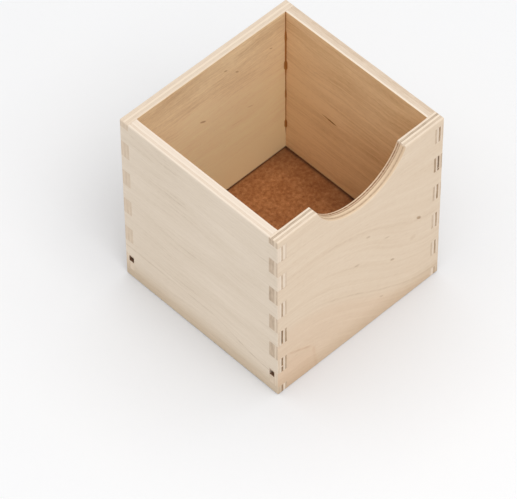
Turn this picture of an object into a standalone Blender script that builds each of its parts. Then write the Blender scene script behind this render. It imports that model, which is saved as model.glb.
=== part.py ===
"""Espresso knock box: an open-topped box of birch plywood with finger-jointed corners.

Four plywood walls meet in finger joints at the upright corners. A hardboard base sits in a groove
that runs round the inside of the walls, a little above the table. A round scoop is cut from the
top of the front wall. The frame's origin is under the middle of the box, at table level: +X is
to the right, -Y to the front and +Z up. Lengths are in metres.
"""

import math

import bmesh
import bpy

# The box
BOX_WIDTH = 0.123  # across the front, outside
BOX_DEPTH = 0.1195  # front to back, outside
BOX_HEIGHT = 0.128
EDGE_EASE = 0.0009  # how far the assembled box's outer edges are sanded round
EASE_STEPS = 3

# The plywood walls and their finger joints
WALL_THICKNESS = 0.0065
FINGER_HEIGHT = 0.0117
TOP_FINGER_HEIGHT = 0.0047  # the part finger at the top edge
JOINT_GAP = 0.0002  # between any finger and its neighbours

# The base, and the groove that it sits in
BASE_THICKNESS = 0.0030
BASE_SEAT_GAP = 0.0003  # under the base
BASE_TOP_GAP = 0.0007  # over it
BASE_EDGE_GAP = 0.0005  # between its edge and the back of the groove
GROOVE_FLOOR = 0.0130  # above the table
GROOVE_HEIGHT = BASE_SEAT_GAP + BASE_THICKNESS + BASE_TOP_GAP
GROOVE_DEPTH = 0.0036  # into the wall's inner face

# The scoop in the front wall
SCOOP_RADIUS = 0.0350
SCOOP_RISE = 0.0127  # how far its centre lies above the top edge
SCOOP_SIDES = 128  # of the whole circle

SAW_MARGIN = 0.0010  # how far a blank is cut oversize, and a cutter runs past it


def clear_scene():
    """Removes whatever the scene holds."""
    for thing in list(bpy.data.objects):
        bpy.data.objects.remove(thing, do_unlink=True)


def material(name, colour, roughness):
    """A plain dielectric finish."""
    made = bpy.data.materials.new(name)
    made.use_nodes = True
    shader = made.node_tree.nodes["Principled BSDF"]
    shader.inputs["Base Color"].default_value = (*colour, 1.0)
    shader.inputs["Roughness"].default_value = roughness
    shader.inputs["Metallic"].default_value = 0.0
    return made


def new_object(name, shape, parent, location=(0.0, 0.0, 0.0), turn=0.0):
    """Puts a bmesh in the scene as an object that stands turned about Z, in degrees."""
    mesh = bpy.data.meshes.new(name)
    bmesh.ops.recalc_face_normals(shape, faces=shape.faces)
    shape.to_mesh(mesh)
    shape.free()
    made = bpy.data.objects.new(name, mesh)
    bpy.context.scene.collection.objects.link(made)
    made.parent = parent
    made.location = location
    made.rotation_euler = (0.0, 0.0, math.radians(turn))
    return made


def block(low, high):
    """A bmesh box between two corners."""
    shape = bmesh.new()
    bmesh.ops.create_cube(shape, size=1.0)
    for vert in shape.verts:
        for axis in range(3):
            vert.co[axis] = low[axis] if vert.co[axis] < 0.0 else high[axis]
    return shape


def as_cutter(thing):
    """Hides an object that only shapes others."""
    thing.hide_render = True
    thing.display_type = "WIRE"
    return thing


def boolean(thing, operation, cutter):
    """Adds one exact Boolean to an object."""
    step = thing.modifiers.new(cutter.name, "BOOLEAN")
    step.operation = operation
    step.solver = "EXACT"
    step.object = cutter


def finger_levels():
    """The heights where one finger ends and the next begins, from the top edge down to the table."""
    levels = [BOX_HEIGHT, BOX_HEIGHT - TOP_FINGER_HEIGHT]
    while levels[-1] - FINGER_HEIGHT > JOINT_GAP:
        levels.append(levels[-1] - FINGER_HEIGHT)
    levels.append(0.0)
    return levels


def end_profile(length, has_top_finger):
    """One end of a wall from top to bottom, as (distance from the wall's middle, height) points.

    The wall's own fingers run out past the box's face, to be trimmed flush. Between them the wall
    stops short of the neighbour's inner face, and each finger is thinner than its notch."""
    tip = length / 2 + SAW_MARGIN
    root = length / 2 - WALL_THICKNESS - JOINT_GAP
    levels = finger_levels()
    points = []
    for index in range(len(levels) - 1):
        is_finger = (index % 2 == 0) == has_top_finger
        reach = tip if is_finger else root
        inset = JOINT_GAP / 2 if is_finger else -JOINT_GAP / 2
        at_top = index == 0
        at_bottom = index == len(levels) - 2
        upper = BOX_HEIGHT + SAW_MARGIN if at_top else levels[index] - inset
        lower = -SAW_MARGIN if at_bottom else levels[index + 1] + inset
        points.append((reach, upper))
        points.append((reach, lower))
    return points


def wall_panel(name, length, has_top_finger, finish, parent, location, turn):
    """One plywood wall, modelled in its own frame: X along the wall, Y into the box, Z up.

    The wall's outer face lies at Y zero. The blank is oversize on its outer side, and the eased
    envelope of the whole box trims it, as sanding does after the joints are glued."""
    right_end = end_profile(length, has_top_finger)
    left_end = [(-across, height) for across, height in reversed(right_end)]
    outline = right_end + left_end
    shape = bmesh.new()
    corners = [shape.verts.new((across, -SAW_MARGIN, height)) for across, height in outline]
    face = shape.faces.new(corners)
    grown = bmesh.ops.extrude_face_region(shape, geom=[face])
    moved = [item for item in grown["geom"] if isinstance(item, bmesh.types.BMVert)]
    bmesh.ops.translate(shape, verts=moved, vec=(0.0, WALL_THICKNESS + SAW_MARGIN, 0.0))
    panel = new_object(name, shape, parent, location, turn)
    panel.data.materials.append(finish)

    groove = block(
        (-length / 2 - 2 * SAW_MARGIN, WALL_THICKNESS - GROOVE_DEPTH, GROOVE_FLOOR),
        (length / 2 + 2 * SAW_MARGIN, WALL_THICKNESS + SAW_MARGIN, GROOVE_FLOOR + GROOVE_HEIGHT),
    )
    boolean(panel, "DIFFERENCE", as_cutter(new_object(name + "_groove", groove, panel)))
    return panel


def eased_envelope(parent):
    """The outside of the assembled box with all its edges sanded round."""
    shape = block(
        (-BOX_WIDTH / 2, -BOX_DEPTH / 2, 0.0),
        (BOX_WIDTH / 2, BOX_DEPTH / 2, BOX_HEIGHT),
    )
    bmesh.ops.bevel(
        shape,
        geom=list(shape.edges),
        offset=EDGE_EASE,
        segments=EASE_STEPS,
        profile=0.5,
        affect="EDGES",
    )
    return as_cutter(new_object("eased_envelope", shape, parent))


def scoop_cutter(panel):
    """The cylinder that cuts the scoop, lying through the wall above its top edge."""
    shape = bmesh.new()
    bmesh.ops.create_cone(
        shape,
        cap_ends=True,
        segments=SCOOP_SIDES,
        radius1=SCOOP_RADIUS,
        radius2=SCOOP_RADIUS,
        depth=WALL_THICKNESS + 4 * SAW_MARGIN,
    )
    cutter = as_cutter(new_object(panel.name + "_scoop", shape, panel))
    cutter.rotation_euler = (math.radians(90.0), 0.0, 0.0)
    cutter.location = (0.0, WALL_THICKNESS / 2, BOX_HEIGHT + SCOOP_RISE)
    return cutter


def base_panel(finish, parent):
    """The hardboard base, whose four edges reach into the walls' groove."""
    reach = GROOVE_DEPTH - BASE_EDGE_GAP
    half_width = BOX_WIDTH / 2 - WALL_THICKNESS + reach
    half_depth = BOX_DEPTH / 2 - WALL_THICKNESS + reach
    shape = block(
        (-half_width, -half_depth, 0.0),
        (half_width, half_depth, BASE_THICKNESS),
    )
    base = new_object("base_panel", shape, parent, (0.0, 0.0, GROOVE_FLOOR + BASE_SEAT_GAP))
    base.data.materials.append(finish)
    return base


def knock_box():
    """Makes the whole box under one empty."""
    clear_scene()
    birch = material("birch_plywood", (0.68, 0.54, 0.38), 0.55)
    hardboard = material("hardboard", (0.25, 0.10, 0.04), 0.60)

    frame = bpy.data.objects.new("knock_box", None)
    bpy.context.scene.collection.objects.link(frame)
    envelope = eased_envelope(frame)

    half_width = BOX_WIDTH / 2
    half_depth = BOX_DEPTH / 2
    front = wall_panel("front_panel", BOX_WIDTH, True, birch, frame, (0.0, -half_depth, 0.0), 0.0)
    back = wall_panel("back_panel", BOX_WIDTH, True, birch, frame, (0.0, half_depth, 0.0), 180.0)
    left = wall_panel("left_panel", BOX_DEPTH, False, birch, frame, (-half_width, 0.0, 0.0), -90.0)
    right = wall_panel("right_panel", BOX_DEPTH, False, birch, frame, (half_width, 0.0, 0.0), 90.0)

    boolean(front, "DIFFERENCE", scoop_cutter(front))
    for panel in (front, back, left, right):
        boolean(panel, "INTERSECT", envelope)
    base_panel(hardboard, frame)


knock_box()
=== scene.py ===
"""Espresso knock box: an open box of birch plywood, finger jointed, with a hardboard base."""

import math

import bpy
import numpy as np
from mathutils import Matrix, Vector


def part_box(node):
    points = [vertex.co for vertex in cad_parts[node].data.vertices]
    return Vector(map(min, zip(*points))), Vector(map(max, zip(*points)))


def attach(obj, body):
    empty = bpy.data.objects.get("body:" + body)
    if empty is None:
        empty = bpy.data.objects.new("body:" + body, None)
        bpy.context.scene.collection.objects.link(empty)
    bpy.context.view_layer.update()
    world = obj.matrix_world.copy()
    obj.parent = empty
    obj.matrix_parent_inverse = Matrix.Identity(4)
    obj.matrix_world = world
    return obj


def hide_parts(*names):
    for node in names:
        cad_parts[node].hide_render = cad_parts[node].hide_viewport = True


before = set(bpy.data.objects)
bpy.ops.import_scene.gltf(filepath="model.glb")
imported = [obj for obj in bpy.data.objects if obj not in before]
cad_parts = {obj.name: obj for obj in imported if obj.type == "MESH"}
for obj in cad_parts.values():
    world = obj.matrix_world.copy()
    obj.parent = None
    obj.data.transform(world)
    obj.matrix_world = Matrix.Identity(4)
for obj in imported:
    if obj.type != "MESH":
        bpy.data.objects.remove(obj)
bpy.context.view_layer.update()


# ---------------------------------------------------------------------------------------------
# Front panel. Five plies of birch, 6.5 mm thick, with fingers along both upright ends and a round
# scoop in its top edge for the portafilter. Saw cut, sanded round the outside once glued up.
# ---------------------------------------------------------------------------------------------

MM = 0.001
corner_low, corner_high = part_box("front_panel")
width = (corner_high[0] - corner_low[0]) / MM
thickness = (corner_high[1] - corner_low[1]) / MM
height = (corner_high[2] - corner_low[2]) / MM
depth = 2 * (-corner_low[1]) / MM
ply = thickness / 5

finger = 11.7  # how tall a whole finger is
slack = 0.08  # left between a finger and its socket
first_level = 6.3  # where the lowest whole finger of the front and back walls starts
last_level = 123.3  # above it the front and back walls run right across
finger_levels = np.array([first_level + finger * step for step in range(11)])
groove_floor = 13.0
groove_top = 17.0
groove_cut = 3.6
scoop_radius = 35.0
scoop_centre = height + 12.7


def grid_lines(low, high, marks, step):
    """Where a wall is divided along one direction: the marks, five close lines inside each end
    for the eased edges, and even lines wherever no other lies within a third of a step."""
    close = np.array([0.0, 0.12, 0.30, 0.55, 0.90])
    fixed = np.unique(np.round(np.concatenate([low + close, high - close, marks]), 4))
    even = np.arange(low + step / 2, high, step)
    clear = np.abs(even[:, None] - fixed[None, :]).min(axis=1) > step / 3
    return np.sort(np.concatenate([fixed, even[clear]]))


def wall_skin(solid):
    """The skin of a block of cells: a square lies wherever a solid cell meets an empty one, wound
    to face the empty one. Returns the grid corners in use and the squares that join them."""
    corners = np.array(solid.shape) + 1
    stride = np.array([corners[1] * corners[2], corners[2], 1])
    filled = np.pad(solid, 1).astype(int)
    squares = []
    for axis in range(3):
        inside = [slice(1, -1)] * 3
        inside[axis] = slice(None)
        change = np.diff(filled, axis=axis)[tuple(inside)]
        start = np.argwhere(change != 0) @ stride
        one, two = stride[(axis + 1) % 3], stride[(axis + 2) % 3]
        ring = start[:, None] + np.array([0, one, one + two, two])
        entering = change[change != 0] > 0
        ring[entering] = ring[entering][:, ::-1]
        squares.append(ring)
    squares = np.concatenate(squares)
    used, index = np.unique(squares, return_inverse=True)
    places = np.stack([used // stride[0], used % stride[0] // stride[1], used % stride[1]], axis=1)
    return places, index.reshape(squares.shape)


def eased(points, low, high, radius):
    """Rounds the edges of a box: a point further out than the radius from a face is pulled to
    the same share of a sphere's or cylinder's radius, so the square corner becomes a round."""
    core = np.clip(points, low + radius, high - radius)
    out = points - core
    length = np.linalg.norm(out, axis=1, keepdims=True)
    share = np.abs(out).max(axis=1, keepdims=True) / np.maximum(length, 1e-9)
    return core + out * share


def wall_piece(name, half, along, inwards, solid_rule, along_marks, level_marks, drop=None):
    """A wall as one closed mesh. It is laid out flat, as distance along it, depth from its outer
    face and height, cut by the solid rule, eased, and then stood up where it belongs."""
    root = half - thickness - slack / 2
    along_lines = grid_lines(-half, half, np.concatenate([[-root, root], along_marks]), 2.6)
    depth_marks = [ply, 2 * ply, thickness - groove_cut, 2.5 * ply, 3 * ply, 4 * ply]
    depth_lines = grid_lines(0.0, thickness, depth_marks, 9.0)
    joints = np.concatenate([level_marks - slack / 2, level_marks + slack / 2])
    level_lines = grid_lines(0.0, height, np.concatenate([joints, [groove_floor, groove_top]]), 2.6)
    lines = [along_lines, depth_lines, level_lines]
    middles = [(line[1:] + line[:-1]) / 2 for line in lines]
    s, d, z = np.meshgrid(*middles, indexing="ij")
    groove = (d > thickness - groove_cut) & (z > groove_floor) & (z < groove_top)
    places, squares = wall_skin(solid_rule(s, d, z) & ~groove)
    flat = np.stack([lines[k][places[:, k]] for k in range(3)], axis=1)
    s, d, z = flat[:, 0], flat[:, 1], flat[:, 2]

    # the outer edges, a little softer in some places than in others
    soft = 0.78 + 0.12 * np.sin(s * 0.11 + z * 0.07 + half) * np.cos(s * 0.05 - z * 0.09)
    low = np.array([-half, 0.0, 0.0])
    high = np.array([half, 99.0, height])
    flat = eased(flat, low, high, soft[:, None])

    # the inner edge of the rim, which runs out before it meets the next wall
    reach = np.clip((half - thickness - 0.6 - np.abs(s)) / 2.0, 0.0, 1.0)
    soft = np.maximum(0.34 * reach, 1e-4)
    low = np.array([-999.0, -99.0, -99.0])
    high = np.array([999.0, thickness, height])
    flat = eased(flat, low, high, soft[:, None])
    if drop is not None:
        flat[:, 2] -= drop(flat[:, 0]) * np.clip((z - 96.0) / (height - 3.0 - 96.0), 0.0, 1.0)

    start, towards = np.array(along), np.array(inwards)
    points = flat[:, :1] * start + flat[:, 2:] * np.array([0.0, 0.0, 1.0])
    outer = np.where(np.abs(towards) > 0, -towards * np.abs([width / 2, depth / 2, 0.0]), 0.0)
    points = points + outer + flat[:, 1:2] * towards
    if np.dot(np.cross(start, towards), [0.0, 0.0, 1.0]) < 0:
        squares = squares[:, ::-1]
    mesh = bpy.data.meshes.new(name)
    mesh.from_pydata((points * MM).tolist(), [], squares.tolist())
    mesh.polygons.foreach_set("use_smooth", np.ones(len(squares), dtype=bool))
    mesh.set_sharp_from_angle(angle=math.radians(38.0))
    mesh.update()
    piece = bpy.data.objects.new(name, mesh)
    bpy.context.scene.collection.objects.link(piece)
    return piece


def front_solid(s, d, z):
    """Front wall: all of its block but the sockets for the side walls' fingers."""
    level = (z - first_level) / finger
    socket = (np.floor(level) % 2 == 1) & (z < last_level)
    near = np.abs((z - first_level) - finger * np.round(level)) < slack / 2
    end = np.abs(s) > width / 2 - thickness - slack / 2
    return ~(end & (socket | near))


def scoop_drop(s):
    """How far the rim falls at the scoop: a circle's arc, turned softly into the level rim."""
    arc = scoop_centre - np.sqrt(np.maximum(scoop_radius**2 - s**2, 0.0))
    fall = height - np.where(np.abs(s) < scoop_radius, arc, 999.0)
    soft = 0.35
    turn = (fall + soft) ** 2 / (4 * soft)
    return np.where(fall > soft, fall, np.where(fall < -soft, 0.0, turn))


turn = math.asin(math.sqrt(scoop_radius**2 - (scoop_centre - height) ** 2) / scoop_radius)
scoop_steps = scoop_radius * np.sin(np.linspace(-turn, turn, 73))
scoop_steps = np.concatenate([scoop_steps, [-33.2, -32.9, 32.9, 33.2]])
front = wall_piece(
    "front_panel_birch", width / 2, (1, 0, 0), (0, 1, 0),
    front_solid, scoop_steps, finger_levels, scoop_drop,
)


def paint(red, green, blue):
    """A colour written as it looks on a screen, from 0 to 255, as the light that it sends back."""
    shares = np.array([red, green, blue]) / 255
    light = np.where(shares <= 0.04045, shares / 12.92, ((shares + 0.055) / 1.055) ** 2.4)
    return (*light.tolist(), 1.0)


class Shade:
    """A value in a material, which can be added, multiplied and so on as a number can."""

    def __init__(self, finish, socket):
        self.finish = finish
        self.socket = socket

    def work(self, operation, *others):
        """One step of arithmetic on this value and the others, by its Math node's name."""
        values = dict(enumerate((self, *others)))
        return self.finish.node("ShaderNodeMath", {"operation": operation}, values)

    def __add__(self, other):
        return self.work("ADD", other)

    def __radd__(self, other):
        return self.work("ADD", other)

    def __mul__(self, other):
        return self.work("MULTIPLY", other)

    def __rmul__(self, other):
        return self.work("MULTIPLY", other)

    def __sub__(self, other):
        return self.work("SUBTRACT", other)

    def __rsub__(self, other):
        return (self * -1.0).work("ADD", other)

    def __truediv__(self, other):
        return self.work("DIVIDE", other)

    def __pow__(self, other):
        return self.work("POWER", other)

    def __abs__(self):
        return self.work("ABSOLUTE")


class Finish:
    """One material as it is mixed, or the light of the room."""

    def __init__(self, material, shader="Principled BSDF"):
        self.material = material
        self.material.use_nodes = True
        self.tree = self.material.node_tree
        self.shader = self.tree.nodes[shader]

    def node(self, kind, settings, sockets, out=0):
        """Adds one node: its settings first, then the values or links of its sockets."""
        made = self.tree.nodes.new(kind)
        for word, value in settings.items():
            if word == "stops":
                while len(made.color_ramp.elements) < len(value):
                    made.color_ramp.elements.new(0.5)
                for element, (place, colour) in zip(made.color_ramp.elements, value):
                    element.position = place
                    element.color = colour
            elif word == "blending":
                made.color_ramp.interpolation = value
            else:
                setattr(made, word, value)
        for word, value in sockets.items():
            named = {socket.identifier: socket for socket in made.inputs}
            socket = named[word] if word in named else made.inputs[word]
            if isinstance(value, Shade):
                self.tree.links.new(value.socket, socket)
            else:
                socket.default_value = value
        outs = {socket.identifier: socket for socket in made.outputs}
        return Shade(self, made.outputs[out] if isinstance(out, int) else outs[out])

    def smooth(self, value, low, high):
        """0 below low, 1 above high, and an even S between."""
        return self.node(
            "ShaderNodeMapRange",
            {"interpolation_type": "SMOOTHSTEP"},
            {0: value, 1: low, 2: high, 3: 0.0, 4: 1.0},
        )

    def noise(self, x, y, z, detail=3.0, roughness=0.55, out=0):
        """Cloudy noise, read at three lengths that are already in its own units."""
        place = self.node("ShaderNodeCombineXYZ", {}, {0: x, 1: y, 2: z})
        sockets = {"Vector": place, "Scale": 1.0, "Detail": detail, "Roughness": roughness}
        return self.node("ShaderNodeTexNoise", {}, sockets, out)

    def mix(self, share, first, second, way="MIX"):
        """Second over first, by share."""
        return self.node(
            "ShaderNodeMix",
            {"data_type": "RGBA", "blend_type": way},
            {"Factor_Float": share, "A_Color": first, "B_Color": second},
            "Result_Color",
        )

    def ramp(self, value, stops, blending="LINEAR"):
        """Reads colours or shares off a strip of stops."""
        return self.node("ShaderNodeValToRGB", {"blending": blending, "stops": stops}, {0: value})

    def line(self, value, centre, breadth):
        """1 on a line of the field, falling to 0 a breadth away on both sides."""
        return 1.0 - self.smooth(abs(value - centre), 0.0, breadth)

    def spot(self, across, up, place, size, tilt=0.0):
        """1 in the middle of an oval mark, 0 outside it; the tilt leans it down to the right."""
        right = (across - place[0]) / size[0]
        rise = (up - place[1] + (across - place[0]) * tilt) / size[1]
        return 1.0 - self.smooth((right * right + rise * rise), 0.15, 1.0)


def grey(value):
    """A share, as the colour stop that holds it."""
    return (value, value, value, 1.0)


def cut_edge(finish, deep, run, rise, top_tones, end_tones, end_weight, finger_tones, seed):
    """The cut edges of plywood: five plies, each light where the saw ran along its grain and dark
    where it cut across, with open pores, torn fibres and a fine glue line between plies."""
    wander = finish.noise(run / 7.0, rise / 7.0, deep / 40.0 + seed, 2.0) - 0.5
    layer = (deep + wander * 0.35) / thickness
    top_stops = [(k / 5, grey(tone)) for k, tone in enumerate(top_tones)]
    end_stops = [(k / 5, grey(tone)) for k, tone in enumerate(end_tones)]
    top = finish.ramp(layer, top_stops, "CONSTANT")
    end = finish.ramp(layer, end_stops, "CONSTANT")
    starts = [max(0.0, (first_level + finger * (k - 1)) / height) for k in range(len(finger_tones))]
    heights = [(start, grey(tone)) for start, tone in zip(starts, finger_tones)]
    burn = finish.ramp(rise / height, heights, "CONSTANT")
    end = end * (0.55 + burn)
    pores = finish.noise(run / 0.55, rise / 0.55, deep / 0.22, 3.0, 0.7)
    patch = finish.noise(run / 5.0, rise / 5.0, deep / 1.0 + seed, 3.0, 0.6)
    tone = top * (1.0 - end_weight) + end * end_weight
    scooped = 1.0 - finish.smooth(abs(run), 32.4, 33.0)
    scooped = scooped * (1.0 - finish.smooth(rise, height - 1.2, height - 0.4))
    scooped = scooped * finish.smooth(rise, 90.0, 91.0)
    tone = tone * (1.0 - scooped * 0.62) + scooped * 0.12
    torn = finish.noise(run / 1.1, rise / 1.1, deep / 0.8 + seed, 2.0, 0.6)
    seam_depth = deep + wander * 0.5
    seam = finish.line(seam_depth, 4 * ply + 0.10, 0.72)
    seam = seam + finish.line(seam_depth, 3 * ply + 0.25, 0.60) * 0.60
    seam = seam + finish.line(seam_depth, ply + 0.45, 0.80) * 0.52
    seam = scooped * seam * (0.60 + finish.smooth(torn, 0.35, 0.60) * 0.40)
    tone = tone * (0.40 + patch * 1.25) + (pores - 0.5) * 0.16
    glue = 1.0 - finish.smooth(abs((layer * 5.0).work("FRACT") - 0.5), 0.40, 0.47)
    glue = (1.0 - glue) * 0.10
    return tone + glue, seam, scooped


def front_figure(finish, s, z):
    """The veneer's figure: the grain runs level on the left and then falls to the right, with
    darker yearly lines on the same field. Returns how dark it is and how pink."""
    x = s + width / 2
    h = height - z
    bend = finish.noise(s / 34.0, z / 20.0, 3.7, 1.0) - 0.5
    fall = finish.smooth(x, 14.0, 118.0) * finish.smooth(h, 0.0, 100.0)
    field = h - fall * 45.0 + bend * 3.5
    tremble = (finish.noise(s / 6.0, z / 6.0, 1.1, 2.0) - 0.5) * 0.8
    lines = finish.line(field + tremble, 75.0, 1.3) * finish.smooth(x, 8.0, 40.0) * 0.55
    lines = lines + finish.line(field + tremble, 55.5, 1.6) * 0.28
    lines = lines + finish.line(field + tremble, 46.0, 1.6) * 0.24
    lines = lines + finish.line(field + tremble, 36.0, 1.6) * 0.16
    lines = lines + finish.line(field + tremble, 66.0, 1.4) * 0.18
    broken = finish.noise(s / 11.0, z / 6.0, 8.3, 2.0)
    lines = lines * (0.20 + broken * 1.3)
    year = finish.noise(field / 1.25, s / 48.0, 5.5, 3.0, 0.55) - 0.5
    broad = finish.noise(field / 8.0, s / 55.0, 2.2, 2.0) - 0.5
    hook = finish.line(h - x * 0.47 + tremble, 95.5, 1.6) * (1.0 - finish.smooth(x, 22.0, 27.0))
    turn_down = finish.line(x - (h - 108.0) * 0.12 + tremble, 26.5, 2.0) * finish.smooth(h, 108.0, 112.0)
    hook = hook * finish.smooth(x, 6.0, 12.0)
    corner = finish.smooth(h - x * 0.45, 92.0, 104.0) * (1.0 - finish.smooth(x, 22.0, 32.0))
    corner = corner * 0.35 + finish.smooth(field, 74.0, 84.0) * 0.40
    specks = finish.spot(s, z, (106.0 - width / 2, height - 67.8), (2.2, 1.6), 0.6) * 0.55
    specks = specks + finish.spot(s, z, (102.0 - width / 2, height - 81.0), (3.0, 2.4), 0.0) * 0.22
    specks = specks + finish.spot(s, z, (86.3 - width / 2, height - 86.6), (2.0, 1.3), 0.4) * 0.45
    specks = specks + finish.spot(s, z, (78.5 - width / 2, height - 111.5), (2.0, 1.1), 0.5) * 0.35
    specks = specks + finish.spot(s, z, (67.0 - width / 2, height - 51.5), (2.2, 1.2), 0.4) * 0.32
    specks = specks + finish.spot(s, z, (59.0 - width / 2, height - 68.5), (2.6, 1.1), 0.3) * 0.30
    specks = specks + finish.spot(s, z, (81.5 - width / 2, height - 64.0), (3.0, 1.0), 0.3) * 0.26
    stain = (hook + turn_down * 0.6) * broken
    dark = 0.30 + year * 0.50 + broad * 0.26 + lines * 0.46 + specks + stain * 0.35
    return dark, corner * 0.6 + stain * 0.5


def inner_figure(finish, s, z, seed, banding=0.5):
    """Plain rotary-cut birch: level grain in faint bands, broken by fine fibres."""
    bend = finish.noise(s / 40.0, z / 22.0, seed, 2.0) - 0.5
    field = z + bend * 7.0
    bands = finish.noise(field / 3.6, s / 85.0, seed + 2.0, 3.0, 0.6) - 0.5
    broad = finish.noise(field / 14.0, s / 50.0, seed + 4.0, 2.0) - 0.5
    fine = finish.noise(field / 1.2, s / 38.0, seed + 6.0, 2.0, 0.5) - 0.5
    return 0.30 + bands * (banding * 1.5) + broad * 0.65 + fine * 0.50


def birch(name, along, inwards, half, outside, inside, tones, seed, low_shade_strength=1.0):
    """Birch plywood for one wall. The outer and inner veneers are each a pair of colours mixed by
    a figure; the cut edges show their plies; fibres, pores and sanding give sheen and relief."""
    finish = Finish(bpy.data.materials.new(name))
    place = finish.node("ShaderNodeTexCoord", {}, {}, "Object")
    split = finish.node("ShaderNodeSeparateXYZ", {}, {0: place}).socket.node
    facing = finish.node("ShaderNodeNewGeometry", {}, {}, "Normal")
    turned = finish.node("ShaderNodeSeparateXYZ", {}, {0: facing}).socket.node
    s = Shade(finish, split.outputs[along]) * 1000.0
    z = Shade(finish, split.outputs[2]) * 1000.0
    across = 1 - along
    deep = half + Shade(finish, split.outputs[across]) * (1000.0 * inwards)
    face = Shade(finish, turned.outputs[across])
    end = Shade(finish, turned.outputs[along])
    up = Shade(finish, turned.outputs[2])

    # the two veneers
    fibre = finish.noise(s / 9.0, z / 0.40, seed, 3.0, 0.6)
    fuzz = finish.noise(s / 3.2, z / 1.1, seed + 9.0, 2.0, 0.6)
    fleck_place = finish.node("ShaderNodeCombineXYZ", {}, {0: s / 5.5, 1: z / 0.9, 2: seed})
    sockets = {"Vector": fleck_place, "Scale": 1.0, "Randomness": 1.0}
    fleck = finish.node("ShaderNodeTexVoronoi", {}, sockets)
    cell = Shade(finish, fleck.socket.node.outputs["Position"])
    sparse = finish.node("ShaderNodeTexWhiteNoise", {}, {"Vector": cell})
    fleck = (1.0 - finish.smooth(fleck, 0.10, 0.30)) * finish.smooth(sparse, 0.86, 0.90)
    shown = []
    for colours, figure, pinkness in (outside, inside):
        dark, pink = figure(finish, s, z)
        dark = dark + (fibre - 0.5) * 0.40 + (fuzz - 0.5) * 0.36
        stops = [(0.0, paint(*colours[0])), (0.45, paint(*colours[1])), (1.0, paint(*colours[2]))]
        colour = finish.ramp(dark, stops)
        colour = finish.mix(pink, colour, paint(*pinkness), "MULTIPLY")
        colour = finish.mix(fleck * 0.22, colour, paint(*colours[2]))
        shown.append(colour)
    inner_side = finish.smooth(deep, thickness * 0.5 - 0.2, thickness * 0.5 + 0.2)
    veneer = finish.mix(inner_side, shown[0], shown[1])

    # the cut edges
    top_tones, end_tones, finger_tones, cut_colours = tones
    end_weight = (end * end) / (end * end + up * up + 0.0001)
    tone, seam, scooped = cut_edge(finish, deep, s, z, top_tones, end_tones, end_weight, finger_tones, seed)
    stops = [(k / 3, paint(*colour)) for k, colour in enumerate(cut_colours)]
    cut = finish.ramp(tone, stops)
    cut = finish.mix(scooped * 0.5, cut, paint(252, 236, 208), "MULTIPLY")
    cut = finish.mix(seam, cut, paint(126, 72, 30))
    is_cut = 1.0 - finish.smooth(abs(face), 0.45, 0.80)
    colour = finish.mix(is_cut, veneer, cut)
    # painted shade: a dark brown band at the foot of the inner face, just above the groove, where the base
    # meets the wall
    painted_foot_shade = (1.0 - finish.smooth(z, groove_top, groove_top + 1.3)) * inner_side * 0.45
    painted_foot_shade = painted_foot_shade * finish.smooth(z, groove_top - 0.1, groove_top)
    colour = finish.mix(painted_foot_shade, colour, paint(84, 50, 26))
    # painted shade: the outer veneer is darkened towards the bottom, as if the floor's shadow fell on it
    painted_low_shade = (1.0 - finish.smooth(z, 0.0, 18.0)) * (1.0 - inner_side)
    colour = finish.mix(painted_low_shade * low_shade_strength, colour, paint(230, 223, 212), "MULTIPLY")
    # painted shade: the faces inside the groove are painted dark brown, standing in for the shade in the
    # slot
    groove = finish.smooth(z, groove_floor - 0.15, groove_floor) * finish.smooth(deep, 2.75, 2.9)
    groove = groove * (1.0 - finish.smooth(z, groove_top, groove_top + 0.15))
    groove = groove * (1.0 - finish.smooth(deep, thickness - 0.02, thickness - 0.01))
    groove = groove * (1.0 - finish.smooth(abs(end), 0.5, 0.6))
    colour = finish.mix(groove * 0.90, colour, paint(112, 70, 38))
    finish.tree.links.new(colour.socket, finish.shader.inputs["Base Color"])

    rough = 0.56 + (fibre - 0.5) * 0.18 + is_cut * 0.14 + tone * is_cut * 0.1
    finish.tree.links.new(rough.socket, finish.shader.inputs["Roughness"])
    relief = (fibre - 0.5) * 0.8 * (1.0 - is_cut) - tone * is_cut * 0.9 - fleck * 0.3
    bump = finish.node("ShaderNodeBump", {}, {"Strength": 0.35, "Distance": 0.00012, "Height": relief})
    finish.tree.links.new(bump.socket, finish.shader.inputs["Normal"])
    finish.shader.inputs["Specular IOR Level"].default_value = 0.35
    return finish.material


def front_inside(finish, s, z):
    """The front wall's inner face: plain level grain with no glue on it."""
    return inner_figure(finish, s, z, 31.0), 0.0


cut_birch = ((248, 231, 210), (218, 197, 174), (163, 139, 114), (92, 68, 47))
cut_warm = ((248, 233, 216), (220, 198, 174), (163, 133, 103), (92, 65, 41))
front_outside = (((240, 222, 200), (228, 206, 181), (176, 146, 114)), front_figure, (243, 222, 206))
front_within = (((240, 218, 190), (228, 200, 168), (178, 142, 106)), front_inside, (230, 200, 180))
# how dark each ply is along the rim, how dark where it is cut across, how dark each finger is from
# the bottom up, and the colours from light to dark
front_tones = (
    (0.12, 0.30, 0.06, 0.44, 0.08),
    (0.30, 0.14, 0.36, 0.36, 0.36),
    (0.3, 0.0, 0.45, 0.5, 0.5, 0.45, 0.5, 0.55, 0.5, 0.45, 0.5, 0.5),
    cut_birch,
)
front.data.materials.append(
    birch("birch_front", 0, 1, depth / 2, front_outside, front_within, front_tones, 11.0, 0.60)
)
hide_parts("front_panel")
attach(front, "root")


# ---------------------------------------------------------------------------------------------
# Back panel. The same plywood and the same fingers as the front, with no scoop. Dried glue has
# crept out along its right-hand inner corner.
# ---------------------------------------------------------------------------------------------

back = wall_piece(
    "back_panel_birch", width / 2, (1, 0, 0), (0, -1, 0), front_solid, np.array([0.0]), finger_levels
)


def back_figure(finish, s, z):
    """The back wall's outer face: plain level grain."""
    return inner_figure(finish, s, z, 47.0), 0.0


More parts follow.
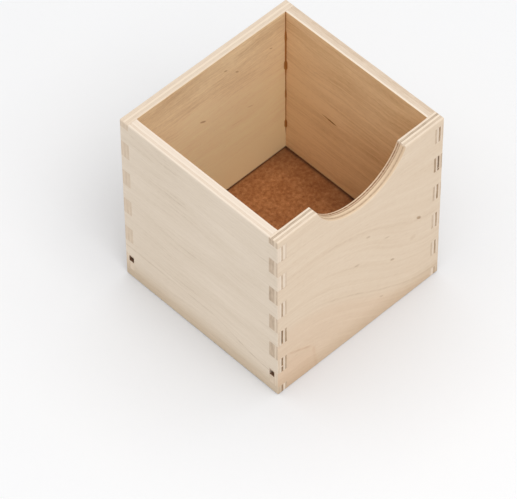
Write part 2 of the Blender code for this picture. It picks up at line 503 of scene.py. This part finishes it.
def glue_stain(finish, from_corner, z, seed):
    """Glue that crept out of a corner joint: a thin brown line that swells beside some fingers."""
    swell = finish.spot(z, 0.0, (108.9, 0.0), (5.0, 1.0)) * 0.5
    swell = swell + finish.spot(z, 0.0, (85.3, 0.0), (4.0, 1.0)) * 1.3
    swell = swell + finish.spot(z, 0.0, (61.6, 0.0), (4.0, 1.0)) * 0.5
    swell = swell + finish.spot(z, 0.0, (36.8, 0.0), (3.6, 1.0)) * 1.3
    ragged = finish.noise(z / 1.6, seed, 0.0, 3.0, 0.7)
    upper = finish.smooth(z, 74.0, 84.0) * (1.0 - finish.smooth(z, 108.0, 114.0))
    reach = 0.22 + ragged * 0.35 + upper * 0.28 + swell * 0.55
    fade = finish.smooth(z, 26.0, 34.0)
    return (1.0 - finish.smooth(from_corner / reach, 0.75, 1.25)) * fade


def back_inside(finish, s, z):
    """Level grain with a few short brown flecks that lean down to the right, and painted light that makes
    the face lighter towards the bottom.
    """
    marks = finish.spot(s, z, (-7.6, 87.6), (2.8, 1.0), 0.45) * 0.65
    marks = marks + finish.spot(s, z, (10.0, 115.0), (1.6, 0.7), 0.45) * 0.5
    marks = marks + finish.spot(s, z, (18.3, 108.0), (1.5, 0.8), 0.6) * 0.65
    marks = marks + finish.spot(s, z, (43.8, 107.0), (1.4, 0.6), 0.4) * 0.45
    marks = marks + finish.spot(s, z, (28.0, 72.3), (3.2, 0.6), 0.35) * 0.4
    marks = marks + finish.spot(s, z, (17.0, 67.0), (5.0, 0.6), 0.1) * 0.3
    glue = glue_stain(finish, width / 2 - thickness - s, z, 5.0)
    # painted light: the back wall's inner face grows lighter towards the bottom
    even = (z / height - 0.62) * 1.0
    return inner_figure(finish, s, z, 53.0, 0.24) + marks + even, glue


back_outside = (((240, 223, 202), (228, 209, 186), (182, 154, 124)), back_figure, (240, 215, 200))
# painted light: the back wall's inner veneer is set lighter than the other inner faces, as if more light
# fell on it
back_within_painted_lighter = (((255, 238, 195), (248, 222, 182), (204, 168, 127)), back_inside, (190, 146, 92))
back_tones = (
    (0.16, 0.20, 0.06, 0.20, 0.12),
    (0.20, 0.16, 0.23, 0.18, 0.22),
    (0.4, 0.1) + (0.5,) * 10,
    cut_birch,
)
back.data.materials.append(
    birch("birch_back", 0, -1, depth / 2, back_outside, back_within_painted_lighter, back_tones, 23.0)
)
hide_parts("back_panel")
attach(back, "root")


# ---------------------------------------------------------------------------------------------
# Side panels. The same plywood; their fingers fill the sockets of the front and back walls, so
# they show as end grain at the box's four corners. The top of each is one whole rim.
# ---------------------------------------------------------------------------------------------


def side_solid(s, d, z):
    """A side wall: all of its block but the sockets for the front and back walls' fingers."""
    level = (z - first_level) / finger
    socket = (np.floor(level) % 2 == 0) | (z > last_level)
    near = np.abs((z - first_level) - finger * np.round(level)) < slack / 2
    end = np.abs(s) > depth / 2 - thickness - slack / 2
    return ~(end & (socket | near))


def left_solid(s, d, z):
    """The left wall, whose core ply has gaps at two of its front fingers."""
    gap = (d > 2 * ply + 0.05) & (d < 3 * ply) & (s < -depth / 2 + 0.7)
    gap = gap & (((z > 42.0) & (z < 52.5)) | ((z > 21.0) & (z < 27.0)))
    return side_solid(s, d, z) & ~gap


def right_solid(s, d, z):
    """The right wall, whose core ply has a gap at one of its front fingers."""
    gap = (d > 2 * ply + 0.05) & (d < 3 * ply) & (s < -depth / 2 + 0.7) & (z > 89.0) & (z < 99.0)
    return side_solid(s, d, z) & ~gap


left = wall_piece(
    "left_panel_birch", depth / 2, (0, 1, 0), (1, 0, 0), left_solid, np.array([0.0]), finger_levels
)
right = wall_piece(
    "right_panel_birch", depth / 2, (0, 1, 0), (-1, 0, 0), right_solid, np.array([0.0]), finger_levels
)


def left_figure(finish, s, z):
    """Quiet level streaks, with one darker line that sinks towards the front."""
    sink = finish.line(z + finish.smooth(s * -1.0, 5.0, 50.0) * 9.0, 25.0, 1.2) * 0.25
    return inner_figure(finish, s, z, 61.0, 0.30) + sink, 0.0


def left_inside(finish, s, z):
    """The left wall's inner face: plain level grain with no glue on it."""
    return inner_figure(finish, s, z, 67.0), 0.0


def right_figure(finish, s, z):
    """The right wall's outer face: plain level grain."""
    return inner_figure(finish, s, z, 71.0), 0.0


def right_inside(finish, s, z):
    """Banded grain with one dark pocket, the glue along the back corner, and painted light that makes the
    face lighter towards the back corner and low down.
    """
    pocket = finish.spot(s, z, (19.0, 66.8), (7.5, 0.95), -0.06) * 0.65
    pocket = pocket + finish.spot(s, z, (17.5, 66.5), (3.6, 0.55), -0.08) * 0.8
    glue = glue_stain(finish, depth / 2 - thickness - s, z, 9.0)
    # painted light: lighter towards the back corner and low down, standing in for light thrown back off the
    # back wall
    painted_bounce_light = finish.smooth(s, -30.0, 50.0) * (1.0 - finish.smooth(z, 84.0, 124.0)) * 0.24
    return inner_figure(finish, s, z, 83.0, 0.50) + pocket - painted_bounce_light, glue


left_outside = (((245, 230, 212), (234, 218, 198), (184, 162, 137)), left_figure, (240, 215, 200))
left_within = (((240, 218, 190), (228, 200, 168), (178, 142, 106)), left_inside, (230, 200, 180))
left_tones = (
    (0.03, 0.16, 0.03, 0.08, 0.03),
    (0.20, 0.12, 0.56, 0.10, 0.38),
    (0.6, 0.5, 0.72, 0.5, 0.85, 0.5, 0.32, 0.5, 0.1, 0.5, 0.05, 0.5),
    cut_warm,
)
left.data.materials.append(
    birch("birch_left", 1, 1, width / 2, left_outside, left_within, left_tones, 37.0)
)
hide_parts("left_panel")
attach(left, "root")

right_outside = (((240, 223, 202), (228, 209, 186), (182, 154, 124)), right_figure, (240, 215, 200))
# painted shade: the right wall's inner veneer is set darker and more orange than the other inner faces, as
# if it stood in shade
right_within_painted_darker = (((246, 212, 168), (222, 184, 138), (146, 98, 58)), right_inside, (190, 146, 92))
right_tones = (
    (0.28, 0.30, 0.24, 0.22, 0.03),
    (0.26, 0.16, 0.56, 0.12, 0.36),
    (0.2, 0.5, 0.42, 0.5, 0.42, 0.5, 0.55, 0.5, 1.1, 0.5, 0.5, 0.5),
    cut_warm,
)
right.data.materials.append(
    birch("birch_right", 1, -1, width / 2, right_outside, right_within_painted_darker, right_tones, 43.0)
)
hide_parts("right_panel")
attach(right, "root")


# ---------------------------------------------------------------------------------------------
# Base. A sheet of 3 mm hardboard, brown pressed wood fibre with a hard smooth face, slid into the
# groove before the last wall went on.
# ---------------------------------------------------------------------------------------------

base_low, base_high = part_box("base_panel")


def sheet_piece(name, low, high):
    """A flat sheet as one closed mesh, its arrises just broken by the panel saw."""
    lines = [grid_lines(low[k] / MM, high[k] / MM, [], step) for k, step in enumerate((4.0, 4.0, 9.0))]
    places, squares = wall_skin(np.ones([len(line) - 1 for line in lines], dtype=bool))
    points = np.stack([lines[k][places[:, k]] for k in range(3)], axis=1)
    points = eased(points, np.array(low) / MM, np.array(high) / MM, 0.15)
    mesh = bpy.data.meshes.new(name)
    mesh.from_pydata((points * MM).tolist(), [], squares.tolist())
    mesh.update()
    piece = bpy.data.objects.new(name, mesh)
    bpy.context.scene.collection.objects.link(piece)
    return piece


base = sheet_piece("base_hardboard", base_low, base_high)

board = Finish(bpy.data.materials.new("hardboard_brown"))
place = board.node("ShaderNodeTexCoord", {}, {}, "Object")
split = board.node("ShaderNodeSeparateXYZ", {}, {0: place}).socket.node
x = Shade(board, split.outputs[0]) * 1000.0
y = Shade(board, split.outputs[1]) * 1000.0
z = Shade(board, split.outputs[2]) * 1000.0
clouds = board.noise(x / 11.0, y / 11.0, z / 11.0, 4.0, 0.6)
mottle = board.noise(x / 2.4, y / 2.4, z / 2.4, 4.0, 0.65)
fibres = board.noise(x / 0.5, y / 0.5, z / 0.5, 3.0, 0.7)
chips = board.node("ShaderNodeTexVoronoi", {"feature": "F1"}, {"Vector": place, "Scale": 520.0}, 0)
shade = clouds * 0.30 + mottle * 0.62 + fibres * 0.34 + chips * 0.14 - 0.17
stops = [
    (0.28, paint(124, 72, 38)),
    (0.46, paint(166, 107, 62)),
    (0.60, paint(189, 130, 82)),
    (0.78, paint(218, 159, 108)),
]
colour = board.ramp(shade, stops)
# painted shade: the board is darkened towards every wall, most towards its front right-hand corner, where
# the walls shade it
painted_base_shade = board.smooth(x, 24.0, 55.0) * 0.36 + board.smooth(abs(x), 53.0, 55.0) * 0.4
painted_base_shade = painted_base_shade + board.smooth(y, 34.0, 53.0) * 0.16 + board.smooth(x - y, 30.0, 90.0) * 0.45
painted_base_shade = painted_base_shade + board.smooth(x * -1.0, 14.0, 52.0) * 0.36
painted_base_shade = painted_base_shade.work("MINIMUM", 0.85)
painted_base_shade = painted_base_shade.work("MAXIMUM", board.smooth(abs(y), 51.7, 53.3) * 0.6)
colour = board.mix(painted_base_shade, colour, paint(70, 40, 22))
# painted shade: a dark band round the edge of the board, where it meets the walls
rim = board.smooth(abs(x), 54.7, 55.1).work("MAXIMUM", board.smooth(abs(y), 52.9, 53.3))
colour = board.mix(rim * 0.85, colour, paint(98, 54, 26))
board.tree.links.new(colour.socket, board.shader.inputs["Base Color"])
rough = 0.50 + (mottle - 0.5) * 0.25
board.tree.links.new(rough.socket, board.shader.inputs["Roughness"])
relief = fibres * 0.6 + mottle * 0.6
bump = board.node("ShaderNodeBump", {}, {"Strength": 0.4, "Distance": 0.00015, "Height": relief})
board.tree.links.new(bump.socket, board.shader.inputs["Normal"])
board.shader.inputs["Specular IOR Level"].default_value = 0.4
base.data.materials.append(board.material)
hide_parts("base_panel")
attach(base, "root")


# ---------------------------------------------------------------------------------------------
# Studio. A white sweep, a bright room all round and one large soft lamp above the front.
# ---------------------------------------------------------------------------------------------

floor_mesh = bpy.data.meshes.new("floor")
spread = 6.0
under = -0.0002
sheet = [(-spread, -spread, under), (spread, -spread, under)]
sheet = sheet + [(spread, spread, under), (-spread, spread, under)]
floor_mesh.from_pydata(sheet, [], [[0, 1, 2, 3]])
floor = bpy.data.objects.new("floor", floor_mesh)
bpy.context.scene.collection.objects.link(floor)


def seen_rays(finish):
    """1 on light that the camera sees, straight or by gloss or through glass, and 0 on the rest."""
    ray = finish.node("ShaderNodeLightPath", {}, {}, "Is Camera Ray").socket.node
    seen = Shade(finish, ray.outputs["Is Camera Ray"])
    seen = seen.work("MAXIMUM", Shade(finish, ray.outputs["Is Glossy Ray"]))
    return seen.work("MAXIMUM", Shade(finish, ray.outputs["Is Transmission Ray"]))


white = Finish(bpy.data.materials.new("white_sweep"))
seen = seen_rays(white)
# painted shadow: the sweep is painted greyer where ambient occlusion finds the box close by
near = white.node("ShaderNodeAmbientOcclusion", {"samples": 16}, {"Distance": 0.10}, "AO")
pale = white.mix(near, paint(214, 219, 227), paint(251, 252, 254))
colour = white.mix(seen, paint(222, 221, 219), pale)
white.tree.links.new(colour.socket, white.shader.inputs["Base Color"])
white.shader.inputs["Roughness"].default_value = 0.9
white.shader.inputs["Specular IOR Level"].default_value = 0.1
floor_mesh.materials.append(white.material)

room = Finish(bpy.data.worlds.new("room"), "Background")
bpy.context.scene.world = room.material
room.shader.inputs["Color"].default_value = (1.0, 1.0, 1.0, 1.0)
strength = 0.785 + seen_rays(room) * 0.215
room.tree.links.new(strength.socket, room.shader.inputs["Strength"])

lamp_data = bpy.data.lights.new("soft_lamp", "AREA")
lamp_data.shape = "SQUARE"
lamp_data.size = 1.2
lamp_data.energy = 11.5
lamp_data.color = (1.0, 0.98, 0.95)
lamp = bpy.data.objects.new("soft_lamp", lamp_data)
lamp.location = (-0.25, -1.0, 1.75)
lamp.rotation_euler = (math.radians(30.5), 0.0, math.radians(-14.0))
bpy.context.scene.collection.objects.link(lamp)

camera_data = bpy.data.cameras.new("camera")
camera_data.sensor_width = 36.0
camera_data.lens = 280.0762
camera_data.clip_start = 0.05
camera_data.clip_end = 50.0
camera = bpy.data.objects.new("camera", camera_data)
camera.location = (-0.97527, -1.00021, 1.72401)
camera.rotation_euler = (math.radians(39.3286), math.radians(0.3372), math.radians(-44.1577))
bpy.context.scene.collection.objects.link(camera)
bpy.context.scene.camera = camera
bpy.context.scene.view_settings.view_transform = "Standard"
